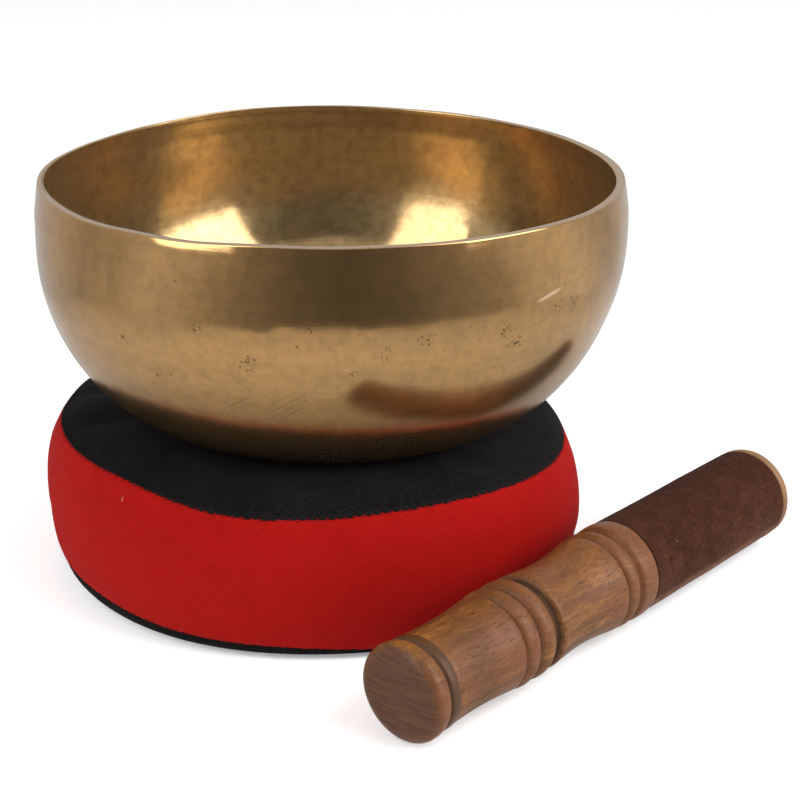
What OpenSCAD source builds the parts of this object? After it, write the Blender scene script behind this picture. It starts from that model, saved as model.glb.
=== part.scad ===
// Singing bowl set: a hammered bronze bowl on a stuffed drum cushion, with its turned wooden mallet
// lying beside it. The origin is the centre of the cushion's underside, +Z is up.

/* [Bowl] */
// Outer diameter of the bowl at its rim
rim_d = 170; // [120:1:240]
// Height of the bowl
bowl_h = 75; // [60:1:90]
// How far the belly stands out past the rim, on the radius
belly_out = 1.1; // [0.5:0.1:4]
// Height of the widest part of the belly, as a share of the bowl's height
belly_at = 0.88; // [0.7:0.01:0.92]
// Radius of the flattened spot under the bowl
foot_r = 30; // [15:1:45]
// Fullness of the curve from the foot to the belly, where 2 is an ellipse
belly_power = 2.4; // [1.8:0.05:3]
// Thickness of the bronze in the wall
wall_t = 2.3; // [1.8:0.1:4]
// Thickness of the bronze under the foot
floor_t = 3.2; // [2:0.1:5]
// How far the bowl stands off the middle of the cushion
bowl_off = 6.3; // [0:0.1:10]

/* [Cushion] */
// Radius of the two seams that join the round panels to the side band
seam_r = 78; // [60:1:100]
// How far the side band bulges past the seams
band_bulge = 2.8; // [0:0.1:6]
// Height of the lower seam above the table
low_seam_z = 4.5; // [3:0.1:10]
// Height of the upper seam above the table
top_seam_z = 41.5; // [30:0.5:60]
// How far the top panel swells above the upper seam
crown_h = 8; // [4:0.1:14]
// Width of the rounded shoulder of the top panel, inside the seam
shoulder_w = 17; // [8:1:30]
// Width of the rounded edge of the bottom panel, inside the seam
hem_w = 6.5; // [4:0.5:20]
// How deep the bowl sinks into the cushion
sink = 4.5; // [1:0.1:7]
// Thickness of the cloth
cloth_t = 1; // [0.6:0.1:2]
// Thickness of the overlocked seam thread
thread_d = 1.2; // [0.8:0.1:2]

/* [Mallet] */
// Length of the mallet
mallet_l = 167; // [140:1:200]
// Radius of the knob
knob_r = 13.4; // [12:0.1:20]
// Radius of the collar, the widest part, which the mallet lies on
collar_r = 14.6; // [14.4:0.1:20]
// Radius of the beads
bead_r = 14.1; // [13.8:0.1:18]
// Radius of the ring behind the knob
ring_r = 13.1; // [12.5:0.1:18]
// Radius of the first grip beside the ring
neck_r = 12.9; // [12.4:0.1:14]
// Radius of the grips beside the middle pair of beads
grip_r = 13.7; // [13:0.1:14]
// How far the first grip's waist is drawn in
waist_a = 0.5; // [0:0.1:1]
// How far the second grip's waist is drawn in
waist_b = 1.1; // [0:0.1:1.5]
// Radius of the suede-covered head
head_r = 14.3; // [13:0.1:18]
// Thickness of the suede
suede_t = 1.2; // [0.8:0.1:2]
// Length of the knob, from its face to the ring
knob_w = 6.2; // [5:0.1:12]
// Width of the ring between the knob and the first grip
ring_w = 3.5; // [2:0.1:6]
// Length of the first grip
grip_a = 25.5; // [15:0.1:30]
// Width of one narrow groove
groove_w = 1.4; // [1:0.1:2]
// Width of each bead of the middle pair
bead_w = 6.1; // [4:0.1:7]
// Length of the second grip
grip_b = 29; // [20:0.1:32]
// Width of the bead behind the collar
last_bead_w = 4.9; // [3:0.1:6]
// Width of the collar, which ends where the suede starts
collar_w = 7.4; // [5:0.1:9]
// Radius at the bottom of the grooves
groove_r = 12.1; // [11:0.1:12.3]
// Width of the wooden lip that closes the sleeve at the head's end
lip_w = 3.7; // [2:0.1:5]
// Direction of the mallet on the table, from +X towards +Y
mallet_turn = 48.2; // [30:0.1:70]
// Distance of the mallet's axis from the middle of the cushion
mallet_off = 99.9; // [98:0.1:130]
// How far the knob lies before the point of the axis nearest the cushion
knob_back = 73.7; // [60:0.1:90]

/* [Hidden] */

$fn = 96;
curve_steps = 22;               // points along a long curve of an outline
shoulder_steps = 8;             // points along a short one
eps = 0.01;

rim_r = rim_d / 2;
belly_r = rim_r + belly_out;
belly_z = belly_at * bowl_h;
lip_bevel = 0.7;                // width of the bevel on the lip's outer edge

top_z = top_seam_z + crown_h;
bowl_z = top_z - sink;          // height of the bowl's foot above the table
fit_gap = 0.35;                 // air between the bowl and the dished cloth
slab = 400;                     // side of the block that cuts the cushion's cloth at its seams
seam_deep = 3;                  // depth of the block that cuts the band's closing seam

core_r = head_r - suede_t;
table_gap = 0.1;                // air under the mallet

bronze = "#a98445";
black_cloth = "#1b1a1c";
red_cloth = "#b3160f";
red_thread = "#8f120c";
black_thread = "#262426";
foam = "#e8e0c8";
wood = "#8a5a2e";
suede = "#4d2c20";

// ---- Bowl ----

// Half outline of the bowl's skin, grown outwards by grow: a flat foot, a superelliptic belly
// and the lip, which leans in a little
function bowl_skin(grow, height = bowl_h) = concat(
    [[0, -grow]],
    [for (i = [0 : curve_steps])
        let (a = 90 * i / curve_steps)
        [foot_r + (belly_r + grow - foot_r) * pow(sin(a), 2 / belly_power),
         belly_z - (belly_z + grow) * pow(cos(a), 2 / belly_power)]],
    [for (i = [1 : shoulder_steps])
        let (t = i / shoulder_steps)
        [belly_r + grow - belly_out * t * t, belly_z + (height - belly_z) * t]]
);

// Solid inside the outline, closed at the given height
module turned_bowl(grow, height = bowl_h) {
    rotate_extrude() polygon(concat(bowl_skin(grow, height), [[0, height]]));
}

// Everything outside a cone, which leaves the bevel on the lip
module lip_cut() {
    difference() {
        cylinder(r = rim_r + 10, h = 2 * lip_bevel);
        translate([0, 0, -eps])
            cylinder(r1 = rim_r + eps, r2 = rim_r - 2 * lip_bevel, h = 2 * lip_bevel + 2 * eps);
    }
}

module bronze_bowl() {
    color(bronze)
    translate([bowl_off, 0, bowl_z])
    difference() {
        turned_bowl(0);
        translate([0, 0, floor_t - wall_t]) turned_bowl(-wall_t, bowl_h + 1);
        translate([0, 0, bowl_h - lip_bevel]) lip_cut();
    }
}

// Solid that the bowl pushes out of the cushion
module bowl_print(grow) {
    translate([bowl_off, 0, bowl_z]) turned_bowl(grow);
}

// ---- Cushion ----

// Half outline of the stuffed drum, shrunk by inset on every side
function drum_outline(inset) = concat(
    [[0, inset]],
    [for (i = [0 : shoulder_steps])
        let (a = 90 * i / shoulder_steps)
        [seam_r - hem_w + (hem_w - inset) * sin(a), low_seam_z - (low_seam_z - inset) * cos(a)]],
    [for (i = [1 : curve_steps])
        let (t = i / curve_steps)
        [seam_r - inset + band_bulge * sin(180 * t), low_seam_z + (top_seam_z - low_seam_z) * t]],
    [for (i = [1 : curve_steps])
        let (a = 90 * i / curve_steps)
        [seam_r - shoulder_w + (shoulder_w - inset) * cos(a), top_seam_z + (crown_h - inset) * sin(a)]],
    [[0, top_z - inset]]
);

module drum(inset) {
    difference() {
        rotate_extrude() polygon(drum_outline(inset));
        bowl_print(fit_gap + inset);
    }
}

// Cloth of the whole cushion between two heights, with channels for the seams' threads
module cloth(from_z, to_z) {
    difference() {
        intersection() {
            difference() {
                drum(0);
                drum(cloth_t);
            }
            translate([-slab / 2, -slab / 2, from_z]) cube([slab, slab, to_z - from_z]);
        }
        seam_ring(low_seam_z);
        seam_ring(top_seam_z);
        closing_seam();
    }
}

module seam_ring(z) {
    translate([0, 0, z])
    rotate_extrude()
    translate([seam_r - thread_d / 4, 0])
        circle(d = thread_d, $fn = 24);
}

// Upright seam at the back, where the two ends of the side band meet
module closing_seam() {
    inner = seam_r - cloth_t + band_bulge / 2;
    tall = top_seam_z - low_seam_z - 2 * thread_d;
    translate([-thread_d / 2, inner, low_seam_z + thread_d]) cube([thread_d, seam_deep, tall]);
}

module cushion_core() {
    color(foam) drum(cloth_t);
}

module cushion_top_panel() {
    color(black_cloth) cloth(top_seam_z, top_z + 1);
}

module cushion_side_band() {
    color(red_cloth) cloth(low_seam_z, top_seam_z);
}

module cushion_bottom_panel() {
    color(black_cloth) cloth(-1, low_seam_z);
}

module seam_thread(z) {
    color(black_thread)
    difference() {
        seam_ring(z);
        drum(cloth_t);
    }
}

module top_seam_thread() {
    seam_thread(top_seam_z);
}

module bottom_seam_thread() {
    seam_thread(low_seam_z);
}

module band_closing_seam() {
    color(red_thread)
    difference() {
        intersection() {
            closing_seam();
            drum(0);
        }
        drum(cloth_t);
    }
}

// ---- Mallet ----
// The mallet is turned from one piece. Its outline runs from the knob's face to the head's end,
// as [radius, distance] points, and each distance below is measured from the knob's face.

knob_corner = 3.8;              // radius of the corner round the knob's face
lip_corner = 1.6;               // radius of the corner round the head's end
notch = 0.4;                    // depth of the fine line cut between the knob and the ring
edge_w = 0.6;                   // width of the small bevels beside the grooves
grip_a_from = knob_w + ring_w;
grip_a_to = grip_a_from + grip_a;
beads_from = grip_a_to + groove_w;
beads_mid = beads_from + bead_w;
beads_to = beads_mid + bead_w;
grip_b_from = beads_to + 2 * groove_w;
grip_b_to = grip_b_from + grip_b;
last_bead_from = grip_b_to + groove_w;
last_bead_to = last_bead_from + last_bead_w;
collar_from = last_bead_to + edge_w;
collar_end = collar_from + collar_w;
sleeve_end = mallet_l - lip_w;

// Rounded bead between two distances, standing out from the grooves to radius r
function bead(from, to, r) =
    [for (i = [0 : shoulder_steps])
        [groove_r + (r - groove_r) * sin(180 * i / shoulder_steps),
         from + (to - from) * i / shoulder_steps]];

// Hollowed grip between two distances, with end radii ra and rb and its waist drawn in
function grip(from, to, ra, rb, waist) =
    [for (i = [0 : shoulder_steps])
        let (t = i / shoulder_steps)
        [ra + (rb - ra) * t - waist * sin(180 * t), from + (to - from) * t]];

// Rounded corner of radius round_r, from a flat face at distance `at` out to radius r
function corner(at, r, round_r) =
    [for (i = [0 : shoulder_steps])
        let (a = 90 * i / shoulder_steps)
        [r - round_r * (1 - sin(a)), at + round_r * (1 - cos(a))]];

function mirrored(list) =
    [for (i = [len(list) - 1 : -1 : 0]) [list[i][0], mallet_l - list[i][1]]];

function mallet_outline() = concat(
    [[0, 0]],
    corner(0, knob_r, knob_corner),
    [[knob_r, knob_w - 2 * edge_w], [ring_r - notch, knob_w]],
    [[ring_r, knob_w + edge_w], [ring_r, grip_a_from - edge_w / 2]],
    grip(grip_a_from, grip_a_to, neck_r, grip_r - 0.2, waist_a),
    bead(beads_from, beads_mid, bead_r - 0.1),
    bead(beads_mid + edge_w, beads_to, bead_r),
    [[groove_r, grip_b_from - edge_w]],
    grip(grip_b_from, grip_b_to, grip_r, grip_r + 0.4, waist_b),
    bead(last_bead_from, last_bead_to, bead_r + 0.3),
    [[collar_r - 0.9, collar_from], [collar_r, collar_from + 3 * edge_w]],
    [[collar_r, collar_end - 3 * edge_w], [head_r, collar_end]],
    [[core_r, collar_end], [core_r, sleeve_end]],
    [[head_r - 0.1, sleeve_end + 0.3]],
    mirrored(corner(0, head_r - 0.1, lip_corner)),
    [[0, mallet_l]]
);

// Lays a mallet part, modelled upright on the axis, down on the table beside the cushion
module laid() {
    rotate([0, 0, mallet_turn])
    translate([-knob_back, -mallet_off, collar_r + table_gap])
    rotate([0, 90, 0])
        children();
}

module mallet_body() {
    color(wood) laid() rotate_extrude() polygon(mallet_outline());
}

module suede_sleeve() {
    length = sleeve_end - collar_end;
    color(suede)
    laid()
    translate([0, 0, collar_end])
    difference() {
        cylinder(r = head_r, h = length);
        translate([0, 0, -1]) cylinder(r = core_r, h = length + 2);
    }
}

bronze_bowl();
cushion_core();
cushion_top_panel();
cushion_side_band();
cushion_bottom_panel();
top_seam_thread();
bottom_seam_thread();
band_closing_seam();
mallet_body();
suede_sleeve();
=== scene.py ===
"""Singing bowl set: a hammered bronze bowl on a round drum cushion, with a turned wooden mallet.

Everything is in metres in the CAD frame: the origin is the middle of the cushion's underside, +Z is up.
"""
import math
import random

import bmesh
import bpy
import numpy as np
from mathutils import Matrix, Vector, kdtree, noise


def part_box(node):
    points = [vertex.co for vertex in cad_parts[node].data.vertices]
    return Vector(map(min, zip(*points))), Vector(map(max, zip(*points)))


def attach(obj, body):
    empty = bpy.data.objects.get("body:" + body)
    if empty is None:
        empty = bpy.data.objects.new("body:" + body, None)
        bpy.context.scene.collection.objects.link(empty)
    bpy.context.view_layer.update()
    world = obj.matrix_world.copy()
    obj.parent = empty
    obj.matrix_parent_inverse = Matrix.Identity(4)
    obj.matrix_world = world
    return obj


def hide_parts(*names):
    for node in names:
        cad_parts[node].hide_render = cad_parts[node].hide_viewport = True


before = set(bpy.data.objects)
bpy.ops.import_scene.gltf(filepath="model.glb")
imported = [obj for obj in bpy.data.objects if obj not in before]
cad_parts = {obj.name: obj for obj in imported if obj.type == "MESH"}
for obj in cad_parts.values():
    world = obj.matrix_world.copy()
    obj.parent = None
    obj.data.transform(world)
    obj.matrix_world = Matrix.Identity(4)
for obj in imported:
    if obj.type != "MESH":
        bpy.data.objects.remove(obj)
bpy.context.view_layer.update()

MM = 0.001
TURN = 2 * math.pi


# ---------------------------------------------------------------- meshes

def mesh_object(name, verts, faces, smooth=True):
    mesh = bpy.data.meshes.new(name)
    mesh.from_pydata([tuple(v) for v in verts], [], faces)
    mesh.update()
    if smooth:
        mesh.polygons.foreach_set("use_smooth", [True] * len(mesh.polygons))
    piece = bpy.data.objects.new(name, mesh)
    bpy.context.scene.collection.objects.link(piece)
    return piece


def grid_faces(rows, columns):
    """Quads between successive closed rings of vertices."""
    faces = []
    for i in range(rows - 1):
        for j in range(columns):
            a = i * columns + j
            b = i * columns + (j + 1) % columns
            faces.append((a, b, b + columns, a + columns))
    return faces


def fan_faces(tip, first, columns, reverse=False):
    """Triangles between one vertex and the closed ring of vertices that starts at index first."""
    faces = [(tip, first + j, first + (j + 1) % columns) for j in range(columns)]
    return [face[::-1] for face in faces] if reverse else faces


def solid(name, verts, faces, material):
    """A smooth mesh with every face pointing outwards."""
    piece = mesh_object(name, verts, faces)
    work = bmesh.new()
    work.from_mesh(piece.data)
    bmesh.ops.recalc_face_normals(work, faces=work.faces)
    work.to_mesh(piece.data)
    work.free()
    piece.data.materials.append(material)
    return piece


def resample(points, spacing):
    """The same open line as points, with evenly spaced points about spacing apart."""
    points = np.array(points, float)
    steps = np.hypot(*np.diff(points, axis=0).T)
    along = np.concatenate([[0], np.cumsum(steps)])
    count = max(2, round(along[-1] / spacing))
    at = np.linspace(0, along[-1], count + 1)
    return np.column_stack([np.interp(at, along, points[:, k]) for k in range(points.shape[1])])


def rising(value, start, stop):
    """0 up to start, 1 from stop on, and straight in between."""
    return min(1.0, max(0.0, (value - start) / (stop - start)))


def tube(path, radius, sides=6):
    """Vertices and faces of a round tube along a list of points, with flat ends."""
    last = len(path) - 1
    verts = []
    for i, point in enumerate(path):
        ahead = (path[min(i + 1, last)] - path[max(i - 1, 0)]).normalized()
        side = ahead.orthogonal() if abs(ahead.z) > 0.9 else ahead.cross(Vector((0, 0, 1)))
        side.normalize()
        up = side.cross(ahead)
        for j in range(sides):
            angle = TURN * j / sides
            verts.append(point + radius * (side * math.cos(angle) + up * math.sin(angle)))
    faces = grid_faces(len(path), sides)
    faces.append(tuple(reversed(range(sides))))
    faces.append(tuple(last * sides + j for j in range(sides)))
    return verts, faces


def join(parts):
    """One list of vertices and one of faces from several (verts, faces) pairs."""
    verts, faces = [], []
    for more_verts, more_faces in parts:
        first = len(verts)
        verts.extend(more_verts)
        faces.extend(tuple(first + k for k in face) for face in more_faces)
    return verts, faces


# ---------------------------------------------------------------- shader nodes

class Shader:
    """A node material under construction. Its methods add nodes and return their output sockets."""

    def __init__(self, name):
        self.material = bpy.data.materials.new(name)
        self.material.use_nodes = True
        self.tree = self.material.node_tree
        self.tree.nodes.clear()
        self.place = self.add("TexCoord").outputs["Object"]

    def add(self, kind, values=None, **settings):
        node = self.tree.nodes.new("ShaderNode" + kind)
        for key, value in settings.items():
            setattr(node, key, value)
        for key, value in (values or {}).items():
            if isinstance(value, bpy.types.NodeSocket):
                self.tree.links.new(value, node.inputs[key])
            else:
                node.inputs[key].default_value = value
        return node

    def math(self, operation, a, b=0.0, c=0.0, clamp=False):
        node = self.add("Math", {0: a, 1: b, 2: c}, operation=operation, use_clamp=clamp)
        return node.outputs[0]

    def times(self, a, b, clamp=False):
        return self.math("MULTIPLY", a, b, clamp=clamp)

    def vector(self, operation, a, b=(0, 0, 0), c=(0, 0, 0)):
        """Vector maths; a distance, a length or a dot product comes back as a number."""
        node = self.add("VectorMath", {0: a, 1: b, 2: c}, operation=operation)
        return node.outputs["Value" if operation in ("DISTANCE", "LENGTH", "DOT_PRODUCT") else "Vector"]

    def combine(self, x, y, z=0.0):
        return self.add("CombineXYZ", {0: x, 1: y, 2: z}).outputs[0]

    def noise(self, scale, detail=4.0, roughness=0.55, distortion=0.0, vector=None):
        values = {"Vector": vector or self.place, "Scale": scale, "Detail": detail,
                  "Roughness": roughness, "Distortion": distortion}
        return self.add("TexNoise", values).outputs["Fac"]

    def lines(self, along, scale, detail=2.0):
        """Noise that changes only with the value along."""
        values = {"W": along, "Scale": scale, "Detail": detail, "Roughness": 0.6}
        return self.add("TexNoise", values, noise_dimensions="1D").outputs["Fac"]

    def cells(self, scale, vector):
        return self.add("TexVoronoi", {"Vector": vector, "Scale": scale}).outputs

    def stretched_noise(self, factors, detail, roughness, distortion=0.0):
        """Noise whose marks have a length of their own along each axis."""
        return self.noise(1.0, detail, roughness, distortion, self.vector("MULTIPLY", self.place, factors))

    def parts(self, vector=None):
        return self.add("SeparateXYZ", {0: vector or self.place}).outputs

    def ramp(self, factor, stops):
        """Colour ramp; a stop is (position, value) or (position, (r, g, b))."""
        node = self.add("ValToRGB", {"Fac": factor})
        elements = node.color_ramp.elements
        while len(elements) < len(stops):
            elements.new(0.5)
        for element, (position, value) in zip(elements, stops):
            element.position = position
            rgb = (value,) * 3 if isinstance(value, (int, float)) else value
            element.color = (*rgb, 1)
        return node.outputs["Color"]

    def mix(self, factor, a, b, blend="MIX"):
        node = self.add("Mix", data_type="RGBA", blend_type=blend)
        for index, value in ((0, factor), (6, a), (7, b)):
            if isinstance(value, bpy.types.NodeSocket):
                self.tree.links.new(value, node.inputs[index])
            elif index:
                node.inputs[index].default_value = (*value, 1)
            else:
                node.inputs[index].default_value = value
        return node.outputs[2]

    def bump(self, height, distance, normal=None, strength=1.0):
        values = {"Height": height, "Distance": distance, "Strength": strength}
        if normal:
            values["Normal"] = normal
        return self.add("Bump", values).outputs[0]

    def finish(self, values):
        surface = self.add("BsdfPrincipled", values)
        output = self.add("OutputMaterial")
        self.tree.links.new(surface.outputs[0], output.inputs[0])
        return self.material


# ---------------------------------------------------------------- bowl

bowl_low, bowl_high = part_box("bronze_bowl")
BOWL_X = (bowl_low.x + bowl_high.x) / 2
BOWL_FOOT = bowl_low.z
BOWL_H = bowl_high.z - bowl_low.z
BELLY_R = (bowl_high.x - bowl_low.x) / 2
BELLY_OUT = 1.1 * MM
BELLY_Z = 0.88 * BOWL_H
FOOT_R = 30 * MM
FULLNESS = 2.4
WALL = 2.3 * MM
FLOOR = 3.2 * MM


def fuller(height):
    """How far the hammered wall stands out past the outline of the CAD bowl, most in its middle."""
    return 1.05 * MM * math.exp(-((height - 48 * MM) / (20 * MM)) ** 2)


RIM_R = BELLY_R - BELLY_OUT + fuller(BOWL_H)


def bowl_skin(grow, steps=90):
    """Half outline of the bowl's outer skin, as [radius, height above the foot], grown by grow."""
    points = [(0.0, -grow)]
    for i in range(steps + 1):
        angle = math.pi / 2 * i / steps
        radius = FOOT_R + (BELLY_R + grow - FOOT_R) * math.sin(angle) ** (2 / FULLNESS)
        height = BELLY_Z - (BELLY_Z + grow) * abs(math.cos(angle)) ** (2 / FULLNESS)
        points.append((radius + fuller(height), height))
    for i in range(1, 11):
        t = i / 10
        height = BELLY_Z + (BOWL_H - BELLY_Z) * t
        points.append((BELLY_R + grow - BELLY_OUT * t ** 1.1 + fuller(height), height))
    return points


def bowl_height_at(radius):
    """Height above the table of the bowl's outer skin at a distance from the bowl's axis."""
    share = min(1.0, max(0.0, (radius - FOOT_R) / (BELLY_R - FOOT_R)))
    sine = share ** (FULLNESS / 2)
    return BOWL_FOOT + BELLY_Z * (1 - math.sqrt(1 - sine * sine) ** (2 / FULLNESS))


def make_bowl():
    rng = random.Random(7)
    columns, spacing = 420, 1.25 * MM
    outer = bowl_skin(0.0)
    inner = [(r, z + FLOOR - WALL) for r, z in bowl_skin(-WALL) if z < BOWL_H - 2 * MM]
    edge = 0.35 * MM
    lip = [(RIM_R, BOWL_H - edge), (RIM_R - 0.1 * MM, BOWL_H - edge / 3), (RIM_R - edge, BOWL_H)]
    lip += [(RIM_R - WALL + edge, BOWL_H), (RIM_R - WALL + 0.1 * MM, BOWL_H - edge / 3)]
    outside = resample([p for p in outer if p[1] < BOWL_H - edge] + [lip[0]], spacing)
    inside = resample([(RIM_R - WALL, BOWL_H - edge)] + inner[::-1], spacing)
    under_lip = [(RIM_R + 0.02 * MM, BOWL_H - edge - 0.15 * MM)]
    profile = np.vstack([outside[1:-1], under_lip, lip, inside[:-1]])
    lip_row = len(outside) + 1

    angles = np.arange(columns) * TURN / columns

    def around(degrees, width):
        """1 at an angle, falling off within about width degrees of it."""
        away = (angles - math.radians(degrees) + math.pi) % TURN - math.pi
        return np.exp(-(away / math.radians(width)) ** 2)

    # The hand-made rim is high at the back and low at its right, with dips; its width varies too.
    # The lip's outer edge is rubbed in a little at the left of the front.
    rim_height = -0.3 - 0.6 * np.cos(angles) - 0.6 * np.cos(2 * angles) - 0.85 * around(152, 19)
    rim_height += 0.3 * around(105, 16) - 0.5 * around(223, 10) - 0.55 * around(246, 9)
    rim_height += 0.05 * np.sin(7 * angles + 2.0) + 0.04 * np.sin(13 * angles)
    rim_width = 0.75 * np.cos(angles) + 0.12 * np.sin(4 * angles + 1.0) - 0.45
    worn = 0.12 * around(244, 9)
    points = []
    for i, (r, z) in enumerate(profile):
        near_lip = max(0.0, 1 - (BOWL_H - z) / (18 * MM)) ** 2
        at_edge = max(0.0, 1 - (BOWL_H - z) / (1.6 * MM)) ** 1.5
        slip = -0.8 * MM * rising(z, 6 * MM, 18 * MM) * (1 - rising(z, 32 * MM, 60 * MM))
        if i > lip_row + 1:
            radius = r - MM * near_lip * 0.95 * rim_width
        else:
            radius = r - MM * at_edge * worn
        height = z + MM * near_lip * rim_height
        for angle, rr, zz in zip(angles, radius, height):
            points.append(Vector((rr * math.cos(angle) + slip, rr * math.sin(angle), zz)))
    points.append(Vector((0, 0, 0)))
    points.append(Vector((0, 0, FLOOR)))

    rows = len(profile)
    faces = grid_faces(rows, columns)
    faces += fan_faces(rows * columns, 0, columns, True)
    faces += fan_faces(rows * columns + 1, (rows - 1) * columns, columns)

    # Hammer marks: shallow round dents, each on one side of the wall.
    side = [1 if i // columns < lip_row else -1 for i in range(rows * columns)]
    tree = kdtree.KDTree(rows * columns)
    for i in range(rows * columns):
        tree.insert(points[i], i)
    tree.balance()
    shift = [0.0] * (rows * columns)
    for _ in range(420):
        centre_row = rng.randrange(8, rows - 8)
        if abs(centre_row - lip_row) < 7:
            continue
        centre = centre_row * columns + rng.randrange(columns)
        reach = rng.uniform(3.5, 7.5) * MM
        depth = rng.uniform(0.03, 0.075) * MM
        for _, index, distance in tree.find_range(points[centre], reach):
            if side[index] == side[centre]:
                shift[index] -= depth * (1 - (distance / reach) ** 2) ** 2
    for i in range(rows * columns):
        shift[i] += 0.13 * MM * noise.noise(points[i] * 55) + 0.03 * MM * noise.noise(points[i] * 160)

    # Hand-hammered form: each point moves along the outline's normal.
    tangent = np.gradient(profile, axis=0)
    normal = np.column_stack([tangent[:, 1], -tangent[:, 0]])
    normal /= np.linalg.norm(normal, axis=1)[:, None]
    verts = []
    for i, point in enumerate(points):
        if i < rows * columns:
            row, column = divmod(i, columns)
            out = Vector((math.cos(angles[column]), math.sin(angles[column]), 0))
            point = point + shift[i] * (out * normal[row][0] + Vector((0, 0, normal[row][1])))
        verts.append(point + Vector((BOWL_X, 0, BOWL_FOOT)))
    bowl = solid("hammered_bowl", verts, faces, bronze_material())
    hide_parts("bronze_bowl")
    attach(bowl, "bowl")
    return bowl


# Clusters of pits on the outside: angle in degrees, height above the foot and reach in millimetres.
PITTED = [(-92, 54, 1.6), (-94, 50, 1.4), (-103, 44, 5), (-85, 42, 2.6), (-79, 47, 2.6), (-111, 53, 4),
          (-72, 50, 4), (-62, 48, 2.6), (-57, 49, 5), (-54, 45, 4.5), (-40, 52, 4), (-44, 52, 4),
          (-122, 37, 4), (-128, 46, 4), (30, 45, 5), (75, 38, 4), (110, 50, 5), (150, 42, 4), (190, 50, 5)]


def on_side(angle, height):
    """A place on the bowl's outside, measured from the bowl's axis at the level of the table."""
    turn = math.radians(angle)
    radius = max(r for r, z in bowl_skin(0.0) if abs(z - height * MM) < 2 * MM)
    return (radius * math.cos(turn), radius * math.sin(turn), BOWL_FOOT + height * MM)


def spots(s, centred, places):
    """1 in the middle of each round spot, falling to 0 at its edge."""
    total = 0.0
    for angle, height, reach in places:
        distance = s.vector("DISTANCE", centred, on_side(angle, height))
        share = s.math("MULTIPLY_ADD", distance, -1 / (reach * MM), 1.0, True)
        total = s.math("MAXIMUM", share, total)
    return total


def streak(s, centred, angle, height, half_length, half_width, tilt):
    """1 in the middle of a slanting oval on the bowl's side, falling to 0 at its edge."""
    turn, lean = math.radians(angle), math.radians(tilt)
    round_it, upward = Vector((-math.sin(turn), math.cos(turn), 0)), Vector((0, 0, 1))
    along = round_it * math.cos(lean) + upward * math.sin(lean)
    across = upward * math.cos(lean) - round_it * math.sin(lean)
    outwards = round_it.cross(upward)
    away = s.vector("SUBTRACT", centred, on_side(angle, height))
    sides = [(along, half_length), (across, half_width), (outwards, 20)]
    oval = s.combine(*[s.vector("DOT_PRODUCT", away, side / (half * MM)) for side, half in sides])
    return s.math("SUBTRACT", 1.0, s.vector("LENGTH", oval), 0, True)


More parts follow.
